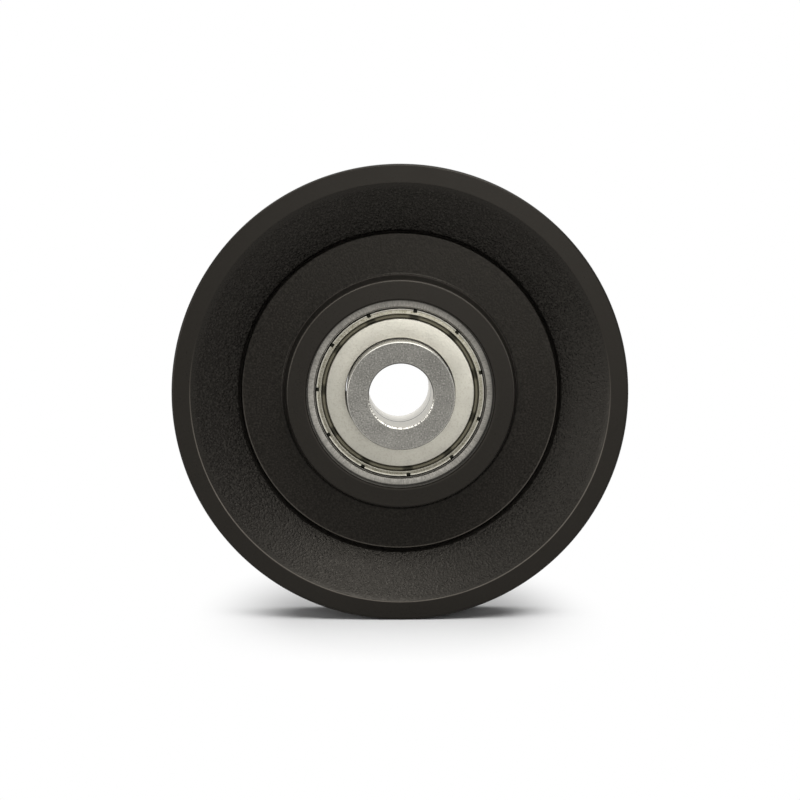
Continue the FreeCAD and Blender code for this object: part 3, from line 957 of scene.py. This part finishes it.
@dataclass
class Shield:
    """A pressed shield: hole lip, flat, channel, bead and curled edge with crimp notches.

    The columns near a notch stand at shares of half its width, and a notch is pressed down by
    shares of the sheet's thickness.
    """

    side: Side
    face: float = BEARING_FACE
    sheet: float = 0.3 * MM
    setback: float = 0.25 * MM
    hole: float = 9.0 * MM
    lip_length: float = 0.5 * MM
    dishing: float = 0.07 * MM
    flat_outer: float = 12.2 * MM
    channel_inner: float = 12.4 * MM
    channel_outer: float = 12.84 * MM
    channel_floor: float = 0.65 * MM
    bead_inner: float = 13.06 * MM
    bead_outer: float = 13.84 * MM
    edge: float = 14.05 * MM
    seat: float = SHIELD_SEAT
    raw_edge: float = 0.04 * MM
    hole_bend: float = 0.16 * MM
    flat_bend: float = 0.22 * MM
    channel_bend: float = 0.2 * MM
    bead_bend: float = 0.12 * MM
    inner_bend: float = 0.05 * MM
    notch_width: float = 0.5 * MM
    notch_start: float = 13.55 * MM
    notch_depth: float = 1.2
    notch_fall: float = 0.85
    near_notch: tuple[float, ...] = (-1.25, -1.02, -0.98, -0.5, 0.0, 0.5, 0.98, 1.02, 1.25)
    steps_between: int = 20
    finest: float = 0.08 * MM

    def corners(self) -> list[Corner]:
        """The shield's section, with depth measured in from the bearing's face.

        Returns:
            Its corners.
        """
        under = self.setback + self.sheet
        floor_under = self.channel_floor + self.sheet
        half_sheet = self.sheet / 2
        outer_face = [
            (self.hole, self.setback + self.lip_length, self.raw_edge),
            (self.hole, self.setback, self.hole_bend),
            (self.flat_outer, self.setback + self.dishing, self.flat_bend),
            (self.channel_inner, self.channel_floor, self.channel_bend),
            (self.channel_outer, self.channel_floor, self.channel_bend),
            (self.bead_inner, self.setback, self.bead_bend),
            (self.notch_start, self.setback + self.dishing, self.bead_bend),
            (self.bead_outer, self.setback + self.dishing / 2, self.bead_bend),
            (self.edge, under + self.dishing, EASED),
            (self.edge, self.seat, self.raw_edge),
        ]
        inner_face = [
            (self.edge - self.sheet, self.seat, self.raw_edge),
            (self.edge - self.sheet, under, self.inner_bend),
            (self.bead_inner + half_sheet, under, self.inner_bend),
            (self.channel_outer + half_sheet, floor_under, self.inner_bend),
            (self.channel_inner - half_sheet, floor_under, self.inner_bend),
            (self.flat_outer - self.sheet, under, self.inner_bend),
            (self.hole + self.sheet, under, EASED),
            (self.hole + self.sheet, self.setback + self.lip_length, self.raw_edge),
        ]
        corners = [Corner(r, d - self.face, bend) for r, d, bend in outer_face + inner_face]
        if self.side is Side.REAR:
            corners = [corner.mirrored() for corner in reversed(corners)]
        return corners

    def half_notch(self) -> float:
        """Half the angle that one notch takes at the bead."""
        return self.notch_width / 2 / self.bead_outer

    def angles(self) -> list[float]:
        """Columns that stand close together at the sides of each notch.

        Returns:
            Their angles.
        """
        half = self.half_notch()
        reach = self.near_notch[-1]
        gap = NOTCH_PITCH - 2 * reach * half
        angles = []
        for notch in range(NOTCH_COUNT):
            middle = FIRST_NOTCH + notch * NOTCH_PITCH
            start = middle + reach * half
            between = range(1, self.steps_between)
            angles += [middle + half * share for share in self.near_notch]
            angles += [start + gap * step / self.steps_between for step in between]
        return angles

    def reshape(self, radius: float, along: float, angle: float) -> tuple[float, float]:
        """Presses the curled edge down inside a notch.

        Args:
            radius: the point's radius in the full section.
            along: its place along the axis.
            angle: the column's angle.

        Returns:
            Its radius and place along the axis in that column.
        """
        offset = (angle - FIRST_NOTCH + NOTCH_PITCH / 2) % NOTCH_PITCH - NOTCH_PITCH / 2
        if abs(offset) > self.half_notch() or radius <= self.notch_start:
            return radius, along
        depth = self.face - abs(along)
        spread = min(max((depth - self.setback) / (self.seat - self.setback), 0.0), 1.0)
        depth = self.setback + self.sheet * (self.notch_depth + self.notch_fall * spread)
        return radius, math.copysign(self.face - depth, along)

    def build(self) -> list[Piece]:
        """Builds and dresses the shield.

        Returns:
            The one piece.
        """
        name = self.side.name.lower()
        stations = outline(self.corners(), self.finest)
        piece = turned_piece(f"crimped_shield_{name}", stations, self.angles(), self.reshape)
        dress(piece, SHIELD_FINISH)
        return [stand_for(piece, Wearer.WHEEL.value, f"shield_{name}")]


@dataclass
class Bearing:
    """The ball bearing: rings, balls, cage with rivets, and a shield on each side."""

    outer: float = BEARING_RADIUS
    half_width: float = BEARING_FACE
    outer_corner: float = 0.6 * MM
    face_fall: float = 0.14 * MM
    face_rounding: float = 0.12 * MM
    recess: float = 14.2 * MM
    recess_rounding: float = 0.06 * MM
    shoulder: float = 13.1265 * MM
    seat_depth: float = SHIELD_SEAT
    race_bottom: float = 14.0265 * MM
    race_radius: float = 3.0965 * MM
    track_steps: int = 14
    ball_radius: float = 2.9765 * MM
    ball_rows: int = 40
    ball_columns: int = 64
    pitch_radius: float = 11.0 * MM
    ball_count: int = 7
    columns: int = 240

    def outer_ring_corners(self) -> list[Corner]:
        """The outer ring's section; the ball track is a run of points on an arc.

        Returns:
            Its corners.
        """
        shoulder_half = self.half_width - self.seat_depth
        half = [
            Corner(self.shoulder, shoulder_half, BROKEN),
            Corner(self.recess, shoulder_half, self.recess_rounding),
            Corner(self.recess, self.half_width - self.face_fall, self.face_rounding),
            Corner(self.outer, self.half_width, self.outer_corner),
        ]
        middle = self.race_bottom - self.race_radius
        reach = math.acos((self.shoulder - middle) / self.race_radius)
        track = []
        for step in range(self.track_steps + 1):
            angle = reach * (1 - 2 * step / self.track_steps)
            radius = middle + self.race_radius * math.cos(angle)
            track.append(Corner(radius, self.race_radius * math.sin(angle), EASED))
        return both_sides(half) + track

    def outer_ring(self) -> Piece:
        """The outer ring, turned and dressed.

        Returns:
            The dressed ring.
        """
        stations = outline(self.outer_ring_corners())
        piece = turned_piece("ground_outer_ring", stations, even_angles(self.columns))
        dress(piece, RING_STEEL)
        return stand_for(piece, Wearer.WHEEL.value, "bearing_outer_ring")

    def ball(self, number: int) -> Piece:
        """One ball, as a finely divided sphere on the ball circle.

        Args:
            number: the ball's number, counted clockwise from the top.

        Returns:
            The dressed ball.
        """
        rows, columns = self.ball_rows, self.ball_columns
        angle = math.tau * (number - 1) / self.ball_count
        middle = Vector((math.sin(angle), 0.0, math.cos(angle))) * self.pitch_radius
        pole = Vector((0.0, self.ball_radius, 0.0))
        points = [middle - pole]
        for row in range(1, rows):
            tilt = math.pi * row / rows
            ring = self.ball_radius * math.sin(tilt)
            height = -self.ball_radius * math.cos(tilt)
            for turn in even_angles(columns):
                spot = Vector((ring * math.sin(turn), height, ring * math.cos(turn)))
                points.append(middle + spot)
        points.append(middle + pole)
        last = len(points) - 1
        faces = []
        for column in range(columns):
            following = (column + 1) % columns
            faces.append((0, 1 + following, 1 + column))
            for row in range(rows - 2):
                near, far = 1 + row * columns, 1 + (row + 1) * columns
                faces.append((near + column, near + following, far + following, far + column))
            top = 1 + (rows - 2) * columns
            faces.append((top + column, top + following, last))
        piece = new_piece(f"polished_ball_{number}", points, faces)
        piece.data.shade_smooth()
        dress(piece, BALL_STEEL)
        return stand_for(piece, f"spinning_ball_{number}", f"ball_{number}")

    def packed_pieces(self) -> list[Piece]:
        """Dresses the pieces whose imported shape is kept: inner ring, cage halves and rivets.

        Returns:
            Those pieces.
        """
        kept = {"bearing_inner_ring": RING_STEEL, "cage_front": CAGE_STEEL, "cage_rear": CAGE_STEEL}
        kept |= {f"cage_rivet_{number}": CAGE_STEEL for number in range(1, self.ball_count + 1)}
        for node, finish in kept.items():
            dress(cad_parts[node], finish)
            log.info("%s keeps its packed shape in %s", node, finish.name)
        return [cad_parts[node] for node in kept]

    def build(self) -> list[Piece]:
        """Builds the whole bearing.

        Returns:
            Its pieces.
        """
        pieces = [self.outer_ring()]
        pieces += [self.ball(number) for number in range(1, self.ball_count + 1)]
        pieces += self.packed_pieces()
        for side in Side:
            pieces += Shield(side).build()
        return pieces


@dataclass
class Bush:
    """A flanged bush: a thin sleeve in the inner ring and a long flange outside it."""

    side: Side
    bore: float = BUSH_BORE
    sleeve: float = 6.0 * MM
    flange: float = BUSH_FLANGE
    bearing_face: float = BEARING_FACE
    face: float = BUSH_FACE
    hollow: float = 0.1 * MM
    flange_bevel: float = 0.18 * MM
    bore_bevel: float = 0.2 * MM
    joint_bevel: float = 0.12 * MM
    sleeve_bevel: float = 0.3 * MM
    columns: int = 200

    def corners(self) -> list[Corner]:
        """The bush's section, from the bore's mouth outwards and back.

        Returns:
            Its corners.
        """
        front = [
            Corner(self.bore + self.bore_bevel, self.hollow - self.face, BROKEN),
            Corner(self.flange - self.flange_bevel, -self.face, BROKEN),
            Corner(self.flange, -self.face + self.flange_bevel, BROKEN),
            Corner(self.flange, -self.bearing_face, BROKEN),
            Corner(self.sleeve, -self.bearing_face),
            Corner(self.sleeve, -self.sleeve_bevel),
            Corner(self.sleeve - self.sleeve_bevel, 0.0, CRISP),
            Corner(self.bore + self.joint_bevel, 0.0, CRISP),
            Corner(self.bore, -self.joint_bevel, CRISP),
            Corner(self.bore, -self.face + self.bore_bevel, EASED),
        ]
        if self.side is Side.FRONT:
            return front
        return [corner.mirrored() for corner in reversed(front)]

    def build(self) -> list[Piece]:
        """Builds and dresses the bush.

        Returns:
            The one piece.
        """
        name = self.side.name.lower()
        stations = outline(self.corners())
        piece = turned_piece(f"blasted_bush_{name}", stations, even_angles(self.columns))
        dress(piece, BUSH_STEEL)
        return [stand_for(piece, Wearer.AXLE_SIDE.value, f"bush_{name}")]


# Studio


@dataclass(frozen=True)
class Softbox:
    """A flat lamp that points at the pulley; its brightness is 1 where it would show as white."""

    name: str
    place: Vector
    width: float
    height: float
    brightness: float

    def build(self) -> None:
        """Adds the lamp to the scene."""
        lamp = bpy.data.lights.new(self.name, "AREA")
        lamp.shape = "RECTANGLE"
        lamp.size = self.width
        lamp.size_y = self.height
        lamp.energy = self.brightness * math.pi * self.width * self.height
        holder = bpy.data.objects.new(self.name, lamp)
        holder.location = self.place
        holder.rotation_euler = (-self.place).to_track_quat("-Z", "Y").to_euler()
        holder.visible_camera = False
        bpy.context.scene.collection.objects.link(holder)


SOFTBOXES = (
    Softbox("overhead_softbox", Vector((0.0, 0.0, 0.8)), width=1.4, height=1.4, brightness=2.2),
    Softbox("key_softbox", Vector((0.16, -0.46, 0.64)), width=0.38, height=0.38, brightness=7.4),
    Softbox("left_softbox", Vector((-0.7, -0.39, 0.02)), width=0.4, height=0.4, brightness=5.2),
    Softbox("front_panel", Vector((0.16, -0.9, 0.2)), width=0.5, height=0.34, brightness=3.0),
)


@dataclass
class Studio:
    """White paper, soft lamps and a camera at the photograph's viewing angle."""

    floor_level: float = -WHEEL_RADIUS
    floor_reach: float = 6.0
    ambient: float = 0.22
    camera_place: Vector = field(default_factory=lambda: Vector((-6.738, -350.0, 24.736)) * MM)
    pitch: float = math.radians(4.297)
    yaw: float = math.radians(1.113)
    lens: float = 94.458
    sensor: float = 36.0
    nearest: float = 0.01
    farthest: float = 50.0

    def floor(self) -> None:
        """A large sheet of paper under the wheel."""
        reach, level = self.floor_reach, self.floor_level
        signs = ((-1, -1), (1, -1), (1, 1), (-1, 1))
        points = [(reach * across, reach * deep, level) for across, deep in signs]
        sheet = new_piece("paper_floor", points, [(0, 1, 2, 3)])
        dress(sheet, PAPER)

    def world(self) -> None:
        """A soft surround that shows as plain white where it is seen or mirrored."""
        surround = bpy.data.worlds.new("white_surround")
        bpy.context.scene.world = surround
        graph = Graph(surround)
        strength = self.ambient + graph.seen() * (1.0 - self.ambient)
        light = graph.add("ShaderNodeBackground", {}, {"Color": WHITE, "Strength": strength})
        graph.add("ShaderNodeOutputWorld", {}, {"Surface": light.outputs[0]})

    def camera(self) -> None:
        """The camera at the photograph's place."""
        view = bpy.data.cameras.new("photo_camera")
        view.lens = self.lens
        view.sensor_width = self.sensor
        view.clip_start = self.nearest
        view.clip_end = self.farthest
        holder = bpy.data.objects.new("photo_camera", view)
        holder.location = self.camera_place
        holder.rotation_euler = Euler((math.pi / 2 - self.pitch, 0.0, -self.yaw))
        bpy.context.scene.collection.objects.link(holder)
        bpy.context.scene.camera = holder

    def build(self) -> None:
        """Sets up everything round the pulley."""
        bpy.context.scene.view_settings.view_transform = "Standard"
        self.floor()
        self.world()
        for softbox in SOFTBOXES:
            softbox.build()
        self.camera()


def main() -> None:
    """Builds the pulley piece by piece, then the studio."""
    logging.basicConfig(level=logging.INFO, format="%(name)s: %(message)s")
    for assembly in (Wheel(), Bearing(), Bush(Side.FRONT), Bush(Side.REAR)):
        pieces = assembly.build()
        log.info("%s: %d pieces", type(assembly).__name__, len(pieces))
    Studio().build()


if __name__ == "__main__":
    main()
